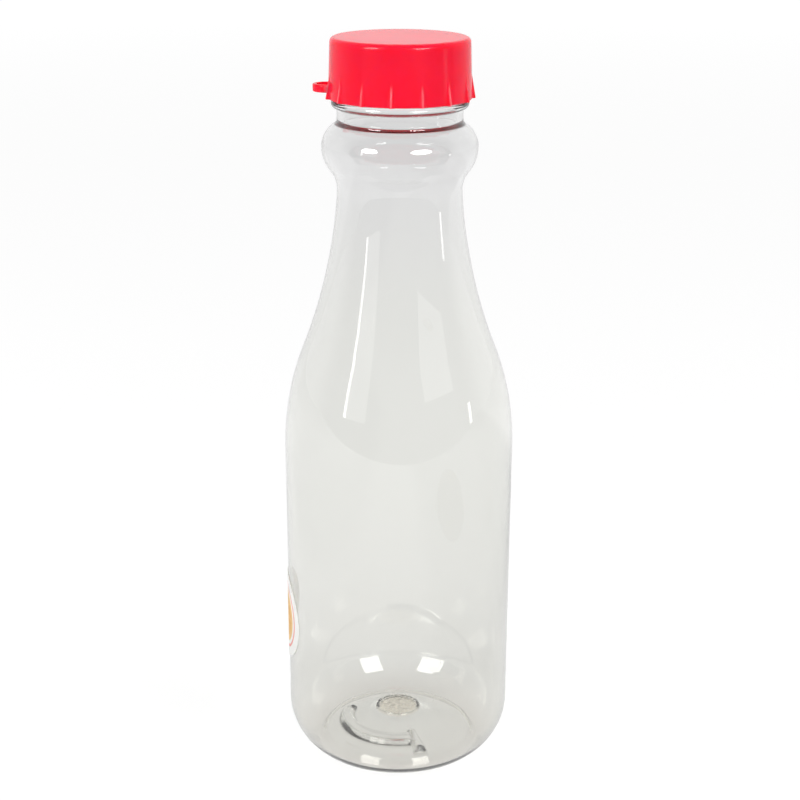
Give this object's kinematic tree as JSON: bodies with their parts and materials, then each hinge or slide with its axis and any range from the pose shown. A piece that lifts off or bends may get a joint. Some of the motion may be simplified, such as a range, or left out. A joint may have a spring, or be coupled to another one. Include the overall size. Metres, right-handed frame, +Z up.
{
  "type": "plastic drink bottle",
  "caption": "Clear blown plastic drink bottle with a pushed-up base, a rounded bulb under the neck, a red cap with a pull ring and a round paper label.",
  "frame": {"origin": "on the bottle's axis, at the surface it stands on", "axes": "+Z up along the bottle's axis; the label and the cap's pull ring are on the -X side"},
  "size_m": [0.0692, 0.0692, 0.2211],
  "materials": {
    "clear_plastic": "clear blown plastic, glossy inside and out",
    "red_plastic": "moulded red plastic, satin gloss",
    "paper": "printed paper sticker, satin"
  },
  "bodies": {
    "root": {"bottle": "clear_plastic", "cap": "red_plastic", "label": "paper"}
  },
  "joints": []
}
